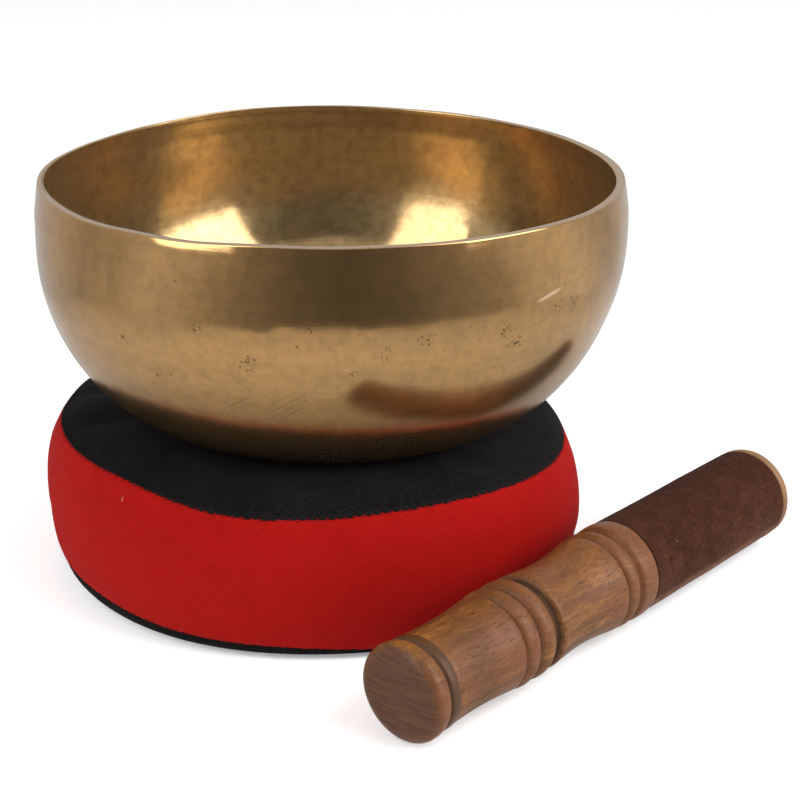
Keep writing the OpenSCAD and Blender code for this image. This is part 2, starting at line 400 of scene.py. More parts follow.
def bronze_material():
    """Polished bronze dulled by use: lathe lines, patina clouds, pits, a scratch and a ground rim."""
    s = Shader("bronze")
    centred = s.vector("SUBTRACT", s.place, (BOWL_X, 0, 0))
    x, y, z = s.parts(centred)
    radius = s.math("SQRT", s.math("ADD", s.times(x, x), s.times(y, y)))
    along = s.math("ADD", radius, z)
    facing = s.add("NewGeometry").outputs["Normal"]
    outside = s.math("GREATER_THAN", s.vector("DOT_PRODUCT", facing, s.combine(x, y)), 0.0)
    inside = s.math("SUBTRACT", 1.0, outside)
    height = s.math("DIVIDE", s.math("SUBTRACT", z, BOWL_FOOT), BOWL_H)

    fine_lines = s.lines(along, 2600, 3.0)
    wide_lines = s.lines(along, 420, 3.0)
    clouds = s.noise(26, 6, 0.64, 0.4)
    mottle = s.noise(260, 6, 0.72)
    grain = s.noise(1500, 3, 0.7)

    gold, olive, rust = (0.500, 0.290, 0.118), (0.405, 0.248, 0.108), (0.45, 0.230, 0.090)
    inner_gold = (0.455, 0.315, 0.148)
    gold = s.mix(outside, inner_gold, gold)
    colour = s.mix(s.ramp(clouds, [(0.42, 0), (0.68, 0.8)]), gold, olive)
    colour = s.mix(s.ramp(s.noise(11, 4, 0.6), [(0.52, 0), (0.75, 0.45)]), colour, rust)
    dull = s.ramp(mottle, [(0.38, 0.45), (0.56, 0)])
    dull = s.times(dull, s.math("MULTIPLY_ADD", outside, -0.4, 1.0))
    colour = s.mix(dull, colour, (0.23, 0.145, 0.062))
    colour = s.mix(s.ramp(wide_lines, [(0.35, 0.12), (0.6, 0)]), colour, (0.30, 0.19, 0.085))

    squiggles = s.noise(1000, 2, 0.5, 1.3)
    pitted = s.math("MULTIPLY_ADD", spots(s, centred, PITTED), 0.20, squiggles)
    pits = s.times(s.ramp(pitted, [(0.715, 0), (0.75, 1)]), outside)
    dot_cells = s.cells(200, centred)
    few = s.math("GREATER_THAN", s.parts(dot_cells["Color"])[0], 0.975)
    dots = s.times(s.ramp(dot_cells["Distance"], [(0.05, 1), (0.12, 0)]), few)
    marks = s.math("MAXIMUM", pits, s.times(dots, 0.5))
    colour = s.mix(s.times(marks, 0.78), colour, (0.05, 0.030, 0.017))

    across = s.math("SUBTRACT", s.times(z, 0.82), s.times(x, 0.57))
    brushed_lines = s.lines(across, 1500, 3.0)
    brushed = streak(s, centred, -97, 31, 9, 4, 35)
    brushed = s.math("MAXIMUM", brushed, streak(s, centred, -106, 31, 6, 3, 35))
    brushed = s.times(s.times(brushed, 2.0, True), s.ramp(brushed_lines, [(0.48, 0), (0.62, 1)]))
    colour = s.mix(s.times(brushed, 0.5), colour, (0.22, 0.135, 0.08))
    scratch = s.times(streak(s, centred, -47, 56.2, 5.5, 0.7, 12), 2.5, True)
    colour = s.mix(s.times(scratch, 0.7), colour, (0.78, 0.60, 0.40))

    # The ground rim is paler and greyer than the rest.
    upward = s.parts(facing)[2]
    rim = s.times(s.math("GREATER_THAN", height, 0.97), s.ramp(upward, [(0.55, 0), (0.9, 1)]))
    colour = s.mix(s.times(rim, 0.85), colour, (0.47, 0.35, 0.25))

    roughness = s.math("MULTIPLY_ADD", clouds, 0.06, 0.060)
    roughness = s.math("MULTIPLY_ADD", fine_lines, 0.03, roughness)
    low = s.times(s.ramp(height, [(0.42, 1), (0.60, 0)]), outside)
    roughness = s.math("MULTIPLY_ADD", low, 0.12, roughness)
    inner_wall = s.times(s.ramp(height, [(0.45, 0), (0.65, 1)]), inside)
    roughness = s.math("MULTIPLY_ADD", inner_wall, 0.13, roughness)
    roughness = s.math("MULTIPLY_ADD", brushed, 0.3, roughness)
    roughness = s.math("MULTIPLY_ADD", s.math("MAXIMUM", rim, scratch), 0.25, roughness, True)
    normal = s.bump(fine_lines, 0.004 * MM)
    normal = s.bump(wide_lines, 0.008 * MM, normal)
    normal = s.bump(grain, 0.003 * MM, normal)
    tarnish = s.math("MULTIPLY_ADD", outside, 0.08, 0.89)
    return s.finish({"Base Color": colour, "Metallic": tarnish, "Roughness": roughness, "Normal": normal})


# ---------------------------------------------------------------- cushion

low_ring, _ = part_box("bottom_seam_thread")
top_ring, top_ring_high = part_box("top_seam_thread")
_, band_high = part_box("cushion_side_band")
_, panel_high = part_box("cushion_top_panel")
THREAD = top_ring_high.z - top_ring.z
SEAM_R = top_ring_high.x - THREAD / 4
LOW_SEAM_Z = low_ring.z + THREAD / 2
TOP_SEAM_Z = top_ring.z + THREAD / 2
BULGE = band_high.x - SEAM_R
CROWN_Z = panel_high.z
SHOULDER = 17 * MM
HEM = 6.5 * MM
CLOTH = 1 * MM
BOWL_GAP = 0.35 * MM

# The drum's skin is a grid: rings of points from the hem below over the band and shoulder to the dish.
COLUMNS = 192
HEM_ROWS, BAND_ROWS, SHOULDER_ROWS, TOP_ROWS = 22, 26, 18, 30
LOW_SEAM_ROW = HEM_ROWS
TOP_SEAM_ROW = HEM_ROWS + BAND_ROWS
DISH_ROWS = 20
STUFF_STEPS = 20  # steps of the cloth simulation
STUFF_CAP = 0.9 * MM  # how far it may move a point


def seam_lift(angle):
    """How far the hand-sewn upper seam wanders up or down: the cushion leans, and the seam waves."""
    lean, front, wave = 4.1 * MM, 0.7 * MM, 2.2 * MM
    behind = 0.5 + 0.5 * math.sin(angle)
    ripple = wave * (1 - 0.6 * behind) * math.sin(3 * angle + 4.6)
    slump = 2.6 * MM * math.exp(-((angle - math.radians(148)) / math.radians(24)) ** 2)
    arch = 2.7 * MM * math.exp(-((angle - math.radians(231)) / math.radians(17)) ** 2)
    return -lean * math.cos(angle) - front * math.sin(angle) + ripple - slump + arch


def low_seam_lift(angle):
    """The lower seam rides up at the left of the front and rolls under at its right."""
    rise = 2.0 * MM * math.exp(-((angle - math.radians(216)) / math.radians(20)) ** 2)
    roll = 2.7 * MM * math.exp(-((angle - math.radians(294)) / math.radians(20)) ** 2)
    return rise - roll


def sag_out(angle, z):
    """How far the drum stands out past its round form: it spreads low down and is drawn in above."""
    left = 1.3 * MM * max(0.0, math.cos(angle - math.radians(219))) ** 3
    right = 1.6 * MM * max(0.0, math.cos(angle)) ** 2
    spread = 0.3 * MM + left + right
    drawn_left = 3.9 * MM * math.exp(-((angle - math.radians(175)) / math.radians(17)) ** 2)
    drawn_left *= rising(z, 39 * MM, 50 * MM)
    drawn_right = 2.1 * MM * max(0.0, math.cos(angle)) ** 2 * rising(z, 12 * MM, 37 * MM)
    return spread * (1 - 0.9 * z / TOP_SEAM_Z) - drawn_left - drawn_right


def drum_skin():
    """Rings of points over the stuffed drum, from the middle of its underside to the middle of its top."""
    rings = []
    for i in range(HEM_ROWS + BAND_ROWS + SHOULDER_ROWS + TOP_ROWS + 1):
        ring = []
        for j in range(COLUMNS):
            angle = TURN * j / COLUMNS
            lift = seam_lift(angle)
            seam_z = TOP_SEAM_Z + 1.2 * MM + lift
            low_z = LOW_SEAM_Z + low_seam_lift(angle)
            crown_z = max(CROWN_Z - 0.5 * MM, seam_z + 1.2 * MM)
            crown_z = min(crown_z, seam_z + 6 * MM)
            if i <= HEM_ROWS:
                t = i / HEM_ROWS
                flat = 0.55
                if t < flat:
                    radius, z = (SEAM_R - HEM) * (0.04 + 0.96 * t / flat), 0.0
                else:
                    turn = math.pi / 2 * (t - flat) / (1 - flat)
                    radius = SEAM_R - HEM + HEM * math.sin(turn)
                    z = low_z * (1 - math.cos(turn))
            elif i <= TOP_SEAM_ROW:
                t = (i - HEM_ROWS) / BAND_ROWS
                radius = SEAM_R + BULGE * (1 - 0.12 * math.cos(angle)) * math.sin(math.pi * t) ** 0.55
                z = low_z + (seam_z - low_z) * t
            elif i <= TOP_SEAM_ROW + SHOULDER_ROWS:
                t = (i - TOP_SEAM_ROW) / SHOULDER_ROWS
                radius = SEAM_R - SHOULDER * t ** 1.25
                z = seam_z + (crown_z - seam_z) * (1 - (1 - t) ** 2.2)
            else:
                t = (i - TOP_SEAM_ROW - SHOULDER_ROWS) / TOP_ROWS
                radius = (SEAM_R - SHOULDER) * (1 - 0.985 * t)
                z = crown_z + (CROWN_Z - crown_z) * t
            radius += sag_out(angle, z) * min(1.0, radius / SEAM_R) ** 3
            ring.append((radius * math.cos(angle), radius * math.sin(angle), z))
        rings.append(ring)
    return np.array(rings)


def press(skin):
    """Presses the bowl's dish into the top and keeps the underside on the table."""
    for i in range(TOP_SEAM_ROW + 1, len(skin)):
        for point in skin[i]:
            distance = math.hypot(point[0] - BOWL_X, point[1])
            if distance < BELLY_R - 2 * MM:
                point[2] = min(point[2], bowl_height_at(distance) - BOWL_GAP)
    skin[:, :, 2] = np.maximum(skin[:, :, 2], 0.0)
    return skin


def drum_form(skin):
    """Vertices and faces of the whole skin of the drum, closed below and above."""
    rows = len(skin)
    faces = grid_faces(rows, COLUMNS)
    faces.append(tuple(reversed(range(COLUMNS))))
    faces.append(tuple(range((rows - 1) * COLUMNS, rows * COLUMNS)))
    return skin.reshape(-1, 3), faces


def stuff(skin):
    """Fills the sewn skin out by a short cloth simulation, held at the seams, in the dish and below."""
    rows = len(skin)
    dummy = mesh_object("drum_skin", *drum_form(skin))
    held = dummy.vertex_groups.new(name="held")
    for row in range(rows):
        fixed = row in (LOW_SEAM_ROW, TOP_SEAM_ROW) or row < HEM_ROWS * 0.4 or row > rows - DISH_ROWS
        if fixed:
            held.add(list(range(row * COLUMNS, (row + 1) * COLUMNS)), 1.0, "REPLACE")
    cloth = dummy.modifiers.new("cloth", "CLOTH")
    settings = cloth.settings
    settings.quality = 6
    settings.mass = 0.15
    settings.tension_stiffness = 12
    settings.compression_stiffness = 12
    settings.shear_stiffness = 4
    settings.bending_stiffness = 0.2
    settings.vertex_group_mass = "held"
    settings.shrink_min = -0.03
    settings.use_pressure = True
    settings.uniform_pressure_force = 3.0
    settings.effector_weights.gravity = 0
    scene = bpy.context.scene
    scene.frame_start, scene.frame_end = 1, STUFF_STEPS
    cloth.point_cache.frame_start, cloth.point_cache.frame_end = 1, STUFF_STEPS
    for step in range(1, STUFF_STEPS + 1):
        scene.frame_set(step)
    evaluated = dummy.evaluated_get(bpy.context.evaluated_depsgraph_get())
    moved = np.zeros(skin.size, np.float32)
    evaluated.data.vertices.foreach_get("co", moved)
    moved = moved.reshape(skin.shape) - skin
    # The movement is smoothed, fades out towards the seams and stays small.
    for _ in range(3):
        moved = 0.5 * moved + 0.25 * np.roll(moved, 1, axis=1) + 0.25 * np.roll(moved, -1, axis=1)
        moved[1:-1] = 0.5 * moved[1:-1] + 0.25 * moved[:-2] + 0.25 * moved[2:]
    length = np.linalg.norm(moved, axis=2)
    row = np.arange(rows)
    on_band = np.sin(np.pi * np.clip((row - LOW_SEAM_ROW) / BAND_ROWS, 0, 1))
    on_top = np.clip((row - TOP_SEAM_ROW) / 8, 0, 1)
    share = np.minimum(length, STUFF_CAP) / np.maximum(length, 1e-9) * (on_band + on_top)[:, None]
    scene.frame_set(1)
    bpy.data.objects.remove(dummy)
    return skin + moved * share[:, :, None]


def panel(name, skin, first, last, material, nodes):
    """One cloth panel between two rows of the drum's skin, with its thickness inwards."""
    rings = skin[first:last + 1]
    rows = len(rings)
    verts = list(rings.reshape(-1, 3))
    faces = grid_faces(rows, COLUMNS)
    if first == 0:
        verts.append(rings[0].mean(0))
        faces += fan_faces(len(verts) - 1, 0, COLUMNS, True)
    if last == len(skin) - 1:
        verts.append(rings[-1].mean(0))
        faces += fan_faces(len(verts) - 1, (rows - 1) * COLUMNS, COLUMNS)
    piece = solid(name, verts, faces, material)
    finer = piece.modifiers.new("finer", "SUBSURF")
    finer.levels = finer.render_levels = 1
    thick = piece.modifiers.new("thick", "SOLIDIFY")
    thick.thickness = CLOTH
    thick.offset = -1
    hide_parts(*nodes)
    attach(piece, "cushion")
    return piece


def at_row(skin, row, turns):
    """A point on a ring of the skin at a share of a turn, and its directions ahead, up and out."""
    place = (turns % 1) * COLUMNS
    j, part = int(place), place - int(place)
    a, b = j % COLUMNS, (j + 1) % COLUMNS
    point = Vector(skin[row][a] * (1 - part) + skin[row][b] * part)
    above = Vector(skin[row + 1][a] * (1 - part) + skin[row + 1][b] * part)
    below = Vector(skin[row - 1][a] * (1 - part) + skin[row - 1][b] * part)
    ahead = Vector((-point.y, point.x, 0)).normalized()
    up = (above - below).normalized()
    out = ahead.cross(up).normalized()
    return point, ahead, up, out


STITCH = 2.55 * MM


def lobe(point, ahead, up, out, length, height, thick):
    """A small flat pad of folded cloth, an ellipsoid lying on the surface."""
    verts = []
    rings, sides = 5, 10
    for i in range(1, rings):
        tilt = math.pi * i / rings
        for j in range(sides):
            turn = TURN * j / sides
            verts.append(point + ahead * length * math.cos(tilt)
                         + up * height * math.sin(tilt) * math.cos(turn)
                         + out * thick * math.sin(tilt) * math.sin(turn))
    faces = grid_faces(rings - 1, sides)
    verts += [point + ahead * length, point - ahead * length]
    faces += fan_faces(len(verts) - 2, 0, sides, True)
    faces += fan_faces(len(verts) - 1, (rings - 2) * sides, sides)
    return verts, faces


def seam_edge(name, skin, row, black_side, node, rng):
    """Overlocked edge of one seam: black lobes over the red, and a slanting stitch in each notch."""
    count = round(TURN * SEAM_R / STITCH)
    parts = []
    for i in range(count):
        turns = (i + rng.uniform(-0.08, 0.08)) / count
        point, ahead, up, out = at_row(skin, row, turns)
        length = 0.50 * STITCH * rng.uniform(0.95, 1.06)
        loose = 0.35 + 0.65 / (1 + math.exp(-(turns * 360 - 236) / 8))
        tall = rng.uniform(0.70, 1.10) * MM * loose
        place = point + up * black_side * 0.30 * MM * loose - out * 0.02 * MM
        parts.append(lobe(place, ahead, up, out, length, tall, 0.20 * MM))
        slant = rng.uniform(0.3, 0.6) * MM
        reach = rng.uniform(0.35, 0.65) * MM
        notch, ahead, up, out = at_row(skin, row, turns + 0.5 / count)
        middle = notch - up * black_side * 0.45 * MM
        stitch = []
        for t in np.linspace(-1, 1, 6):
            swell = 0.10 * (1 - t * t) + 0.02
            stitch.append(middle - up * black_side * reach * t - ahead * slant * t + out * MM * swell)
        parts.append(tube(stitch, 0.08 * MM))
    black = thread_material(name + "_thread", (0.0040, 0.0033, 0.0036))
    piece = solid(name, *join(parts), black)
    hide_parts(node)
    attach(piece, "cushion")
    return piece


def closing_seam(skin, rng):
    """Upright lockstitch at the back, over the butted ends of the side band."""
    parts = []
    rows = range(LOW_SEAM_ROW + 2, TOP_SEAM_ROW - 1)
    for row in rows:
        point, ahead, up, out = at_row(skin, row, 0.25)
        reach = 0.62 * MM
        stitch = []
        for t in np.linspace(-1, 1, 5):
            swell = 0.30 * (1 - t * t) + 0.02
            lean = ahead * rng.uniform(-0.05, 0.05) * MM
            stitch.append(point + up * reach * t + lean + out * MM * swell)
        parts.append(tube(stitch, 0.17 * MM))
    piece = solid("closing_stitches", *join(parts), thread_material("red_thread", (0.20, 0.005, 0.004)))
    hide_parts("band_closing_seam")
    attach(piece, "cushion")
    return piece


def thread_material(name, colour):
    s = Shader(name)
    twist = s.add("TexWave", {"Vector": s.place, "Scale": 900.0, "Distortion": 3.0}).outputs["Fac"]
    shade = s.mix(s.ramp(twist, [(0.3, 0), (0.8, 0.6)]), colour, tuple(2.2 * c for c in colour))
    normal = s.bump(twist, 0.05 * MM)
    values = {"Base Color": shade, "Roughness": 0.85, "Normal": normal, "Specular IOR Level": 0.1}
    return s.finish(values)


def weave(s, u, v, pitch):
    """Height of a plain weave with threads along u and v."""
    wave_u = s.math("SINE", s.times(u, TURN / pitch))
    wave_v = s.math("SINE", s.times(v, TURN / pitch))
    return s.math("MULTIPLY_ADD", s.times(wave_u, wave_v), 0.5, 0.5)


def lint(s, scale, share, size):
    """Sparse tiny specks and short fibres."""
    warp = s.add("TexNoise", {"Vector": s.place, "Scale": 300.0}).outputs["Color"]
    moved = s.vector("MULTIPLY_ADD", warp, (0.004,) * 3, s.place)
    cell = s.cells(scale, s.vector("MULTIPLY", moved, (1, 1, 0.6)))
    chosen = s.math("GREATER_THAN", s.parts(cell["Color"])[0], 1 - share)
    return s.times(s.ramp(cell["Distance"], [(size, 1), (size * 1.8, 0)]), chosen)


def red_material():
    """Red plain-woven cotton, cut on the bias, with faint wear and lint."""
    s = Shader("red_cotton")
    x, y, z = s.parts()
    round_it = s.times(s.math("ARCTAN2", y, x), SEAM_R)
    u = s.math("ADD", s.times(round_it, 0.77), s.times(z, 0.64))
    v = s.math("SUBTRACT", s.times(z, 0.77), s.times(round_it, 0.64))
    threads = weave(s, u, v, 0.62 * MM)
    slubs = s.noise(1.0, 3, 0.6, 0.0, s.combine(s.times(u, 90.0), s.times(v, 1400.0)))
    cross = s.noise(1.0, 3, 0.6, 0.0, s.combine(s.times(u, 1400.0), s.times(v, 90.0)))
    clouds = s.noise(38, 4, 0.6)
    red, deep, pale = (0.283, 0.0050, 0.0034), (0.155, 0.0022, 0.0018), (0.34, 0.017, 0.011)
    colour = s.mix(s.ramp(threads, [(0.1, 0.55), (0.6, 0)]), red, deep)
    colour = s.mix(s.ramp(slubs, [(0.5, 0), (0.8, 0.35)]), colour, deep)
    colour = s.mix(s.ramp(cross, [(0.55, 0), (0.8, 0.2)]), colour, pale)
    colour = s.mix(s.ramp(clouds, [(0.45, 0), (0.75, 0.28)]), colour, deep)
    colour = s.mix(s.times(lint(s, 230, 0.035, 0.05), 0.6), colour, (0.40, 0.22, 0.20))
    normal = s.bump(threads, 0.07 * MM)
    normal = s.bump(slubs, 0.08 * MM, normal)
    normal = s.bump(s.noise(60, 3, 0.5), 0.5 * MM, normal, 0.5)
    values = {"Base Color": colour, "Roughness": 0.9, "Normal": normal, "Specular IOR Level": 0.04,
              "Sheen Weight": 0.015, "Sheen Roughness": 0.5, "Sheen Tint": (0.9, 0.35, 0.3, 1)}
    return s.finish(values)


def black_material():
    """Black brushed cotton with fine ribs across the panel, a little greyed by its nap, with lint."""
    s = Shader("black_cotton")
    x, y, z = s.parts()
    u = s.math("ADD", s.times(x, 0.85), s.times(y, 0.53))
    v = s.math("SUBTRACT", s.times(y, 0.85), s.times(x, 0.53))
    v = s.math("ADD", v, s.times(z, 0.7))
    v = s.math("ADD", v, s.times(s.noise(140, 3, 0.6), 1.2 * MM))
    ribs = s.math("MULTIPLY_ADD", s.math("SINE", s.times(v, TURN / (0.95 * MM))), 0.5, 0.5)
    threads = weave(s, u, v, 0.95 * MM)
    fuzz = s.noise(700, 4, 0.8)
    clouds = s.noise(45, 4, 0.6)
    black, grey = (0.0014, 0.0011, 0.0012), (0.0140, 0.0110, 0.0114)
    colour = s.mix(s.ramp(ribs, [(0.3, 0.1), (1.0, 0.42)]), black, grey)
    colour = s.mix(s.ramp(fuzz, [(0.5, 0), (0.7, 0.7)]), colour, grey)
    colour = s.mix(s.ramp(clouds, [(0.45, 0), (0.7, 0.25)]), colour, (0.015, 0.0132, 0.0145))
    colour = s.mix(s.times(lint(s, 260, 0.03, 0.05), 0.5), colour, (0.20, 0.18, 0.16))
    normal = s.bump(threads, 0.10 * MM)
    normal = s.bump(ribs, 0.06 * MM, normal)
    normal = s.bump(fuzz, 0.16 * MM, normal)
    values = {"Base Color": colour, "Roughness": 0.92, "Normal": normal, "Specular IOR Level": 0.06,
              "Sheen Weight": 0.015, "Sheen Roughness": 0.45}
    return s.finish(values)


def stuffing_material():
    """Matted cotton filling."""
    s = Shader("stuffing")
    clumps = s.noise(120, 6, 0.7, 1.2)
    colour = s.mix(clumps, (0.62, 0.58, 0.48), (0.82, 0.79, 0.70))
    normal = s.bump(clumps, 0.8 * MM)
    return s.finish({"Base Color": colour, "Roughness": 0.95, "Normal": normal})


def make_stuffing(skin):
    """The filling, a closed form just inside the cloth."""
    inset = 2.4 * MM
    ahead = np.roll(skin, -1, axis=1) - np.roll(skin, 1, axis=1)
    upward = np.gradient(skin, axis=0)
    normal = np.cross(ahead, upward)
    normal /= np.maximum(np.linalg.norm(normal, axis=2), 1e-12)[:, :, None]
    inner = skin - inset * normal
    piece = solid("stuffing", *drum_form(inner), stuffing_material())
    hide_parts("cushion_core")
    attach(piece, "cushion")
    return piece


def make_cushion():
    rng = random.Random(11)
    skin = press(drum_skin())
    skin = press(stuff(skin))
    top_row = len(skin) - 1
    black, red = black_material(), red_material()
    panel("bottom_cloth", skin, 0, LOW_SEAM_ROW, black, ["cushion_bottom_panel"])
    panel("side_cloth", skin, LOW_SEAM_ROW, TOP_SEAM_ROW, red, ["cushion_side_band"])
    panel("top_cloth", skin, TOP_SEAM_ROW, top_row, black, ["cushion_top_panel"])
    make_stuffing(skin)
    seam_edge("top_overlock", skin, TOP_SEAM_ROW, 1, "top_seam_thread", rng)
    seam_edge("bottom_overlock", skin, LOW_SEAM_ROW, -1, "bottom_seam_thread", rng)
    closing_seam(skin, rng)


# ---------------------------------------------------------------- mallet

MALLET_TURN = math.radians(48.2)
AHEAD = Vector((math.cos(MALLET_TURN), math.sin(MALLET_TURN), 0))
ACROSS = Vector((-math.sin(MALLET_TURN), math.cos(MALLET_TURN), 0))


def span(node, direction):
    """Lowest and highest distance of a CAD node's points along a direction."""
    distances = [v.co.dot(direction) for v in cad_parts[node].data.vertices]
    return min(distances), max(distances)


mallet_from, mallet_to = span("mallet_body", AHEAD)
sleeve_from, sleeve_to = span("suede_sleeve", AHEAD)
side_from, side_to = span("suede_sleeve", ACROSS)
sleeve_low, sleeve_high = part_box("suede_sleeve")
MALLET_L = mallet_to - mallet_from
SLEEVE_FROM = sleeve_from - mallet_from
SLEEVE_TO = sleeve_to - mallet_from
HEAD_R = (side_to - side_from) / 2
KNOB_FACE = AHEAD * mallet_from + ACROSS * (side_from + side_to) / 2
KNOB_FACE.z = (sleeve_low.z + sleeve_high.z) / 2
MALLET_AXES = Matrix((AHEAD, ACROSS, Vector((0, 0, 1)))).transposed()
MALLET_PLACE = Matrix.Translation(KNOB_FACE) @ MALLET_AXES.to_4x4()


def lathe_steps(start, stop, radius_at, count):
    """Points [distance, radius] of one turned stretch, in millimetres."""
    return [(start + (stop - start) * i / count, radius_at(i / count)) for i in range(count + 1)]


def mallet_profile():
    """Outline of the turned wood, as [distance from the knob's face, radius] in millimetres."""
    def bead(start, stop, low, high):
        return lathe_steps(start, stop, lambda t: low + (high - low) * math.sin(math.pi * t) ** 0.6, 14)

    def grip(start, stop, ra, rb, waist):
        return lathe_steps(start, stop, lambda t: ra + (rb - ra) * t - waist * math.sin(math.pi * t), 20)

    head, core = HEAD_R / MM, HEAD_R / MM - 1.2
    end, sleeve_end, collar_end = MALLET_L / MM, SLEEVE_TO / MM, SLEEVE_FROM / MM
    points = [(0.0, 0.0), (0.0, 4.0), (0.0, 9.4)]
    for a in np.linspace(0.12, math.pi / 2, 12):
        points.append((3.0 * (1 - math.cos(a)), 9.6 + 4.0 * math.sin(a)))
    points += [(3.9, 13.56), (4.8, 13.4), (5.5, 13.05), (5.95, 12.55), (6.15, 12.4), (6.35, 12.6)]
    points += [(6.6, 12.95)]
    points += [(7.2, 13.12), (8.8, 13.15), (9.2, 13.1), (9.4, 12.95), (9.55, 12.8)]
    points += grip(9.8, 35.0, 12.9, 13.5, 0.55)
    points += [(35.5, 13.3), (35.9, 12.4)]
    points += bead(36.3, 42.2, 12.5, 14.0)
    points += [(42.5, 12.3)]
    points += bead(42.8, 48.7, 12.5, 14.1)
    points += [(49.0, 12.2), (49.4, 12.0), (50.8, 12.0), (51.1, 12.3), (51.3, 13.3)]
    points += grip(51.7, 80.2, 13.7, 14.1, 1.1)
    points += [(80.7, 13.9), (81.1, 12.6)]
    points += bead(81.6, 87.0, 12.7, 14.4)
    points += [(87.3, 12.9), (87.6, 12.9), (88.0, 13.9)]
    collar = lambda t: 14.35 + 0.25 * math.sin(math.pi * t) ** 0.7
    points += lathe_steps(88.6, collar_end - 0.5, collar, 10)
    points += [(collar_end - 0.1, 14.15), (collar_end, core)]
    points += lathe_steps(collar_end + 0.6, sleeve_end - 0.2, lambda t: core, 8)
    lip = head - 0.1
    points += [(sleeve_end, core + 0.3), (sleeve_end + 0.1, lip - 0.2), (sleeve_end + 0.35, lip)]
    for a in np.linspace(0, math.pi / 2, 9):
        points.append((end - 1.5 + 1.5 * math.sin(a), lip - 1.5 * (1 - math.cos(a))))
    points += [(end, 5.0), (end, 0.0)]
    return [(d * MM, r * MM) for d, r in points]


def turned(profile, columns, wobble):
    """Vertices and faces of a form turned about the X axis, closed where its outline meets the axis."""
    middle = profile[1:-1]
    verts, faces = [], grid_faces(len(middle), columns)
    for distance, radius in middle:
        for j in range(columns):
            angle = TURN * j / columns
            r = radius + wobble(distance, angle)
            verts.append((distance, r * math.cos(angle), r * math.sin(angle)))
    verts.append((profile[0][0], 0, 0))
    verts.append((profile[-1][0], 0, 0))
    faces += fan_faces(len(verts) - 2, 0, columns, True)
    faces += fan_faces(len(verts) - 1, (len(middle) - 1) * columns, columns)
    return verts, faces


def make_mallet():
    def uneven(distance, angle):
        place = Vector((distance * 60, math.cos(angle) * 1.5, math.sin(angle) * 1.5))
        return 0.06 * MM * noise.noise(place)

    wood = solid("turned_mallet", *turned(mallet_profile(), 160, uneven), wood_material())
    wood.matrix_world = MALLET_PLACE
    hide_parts("mallet_body")
    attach(wood, "mallet")


def make_sleeve():
    """Suede wrapped once round the head, its two edges butted along a line, with cut ends."""
    columns, thick = 200, 1.15 * MM
    seam_angle = math.radians(-150)
    start, stop = SLEEVE_FROM + 0.15 * MM, SLEEVE_TO - 0.1 * MM
    inner = HEAD_R - thick
    soft = 0.35 * MM
    outline = [(start + 0.1 * MM, inner), (start, inner + thick * 0.5)]
    for a in np.linspace(0.2, 1.57, 5):
        outline.append((start + soft * (1 - math.cos(a)), HEAD_R - soft + soft * math.sin(a)))
    outline += [(start + (stop - start) * t, HEAD_R) for t in np.linspace(0.02, 0.98, 70)]
    for a in np.linspace(0, 1.4, 5):
        outline.append((stop - soft * (1 - math.sin(a)), HEAD_R - soft + soft * math.cos(a)))
    outline += [(stop, inner + thick * 0.5), (stop - 0.1 * MM, inner)]
    rows = len(outline)
    verts = []
    for distance, radius in outline:
        for j in range(columns):
            angle = TURN * j / columns
            away = abs((angle - seam_angle + math.pi) % TURN - math.pi) * HEAD_R
            groove = math.exp(-(away / (0.35 * MM)) ** 2) * 0.45 * MM
            ridge = math.exp(-((away - 1.3 * MM) / (0.9 * MM)) ** 2) * 0.16 * MM
            place = Vector((distance * 90, math.cos(angle) * 2.2, math.sin(angle) * 2.2))
            lumps = 0.12 * MM * noise.noise(place) + 0.04 * MM * noise.noise(place * 5)
            r = radius
            if radius > inner + thick * 0.6:
                r += ridge - groove + lumps
            verts.append((distance, r * math.cos(angle), r * math.sin(angle)))
    faces = grid_faces(rows, columns)
    last = (rows - 1) * columns
    for j in range(columns):
        k = (j + 1) % columns
        faces.append((last + j, last + k, k, j))
    sleeve = solid("suede_wrap", verts, faces, suede_material(seam_angle))
    sleeve.matrix_world = MALLET_PLACE
    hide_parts("suede_sleeve")
    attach(sleeve, "mallet")


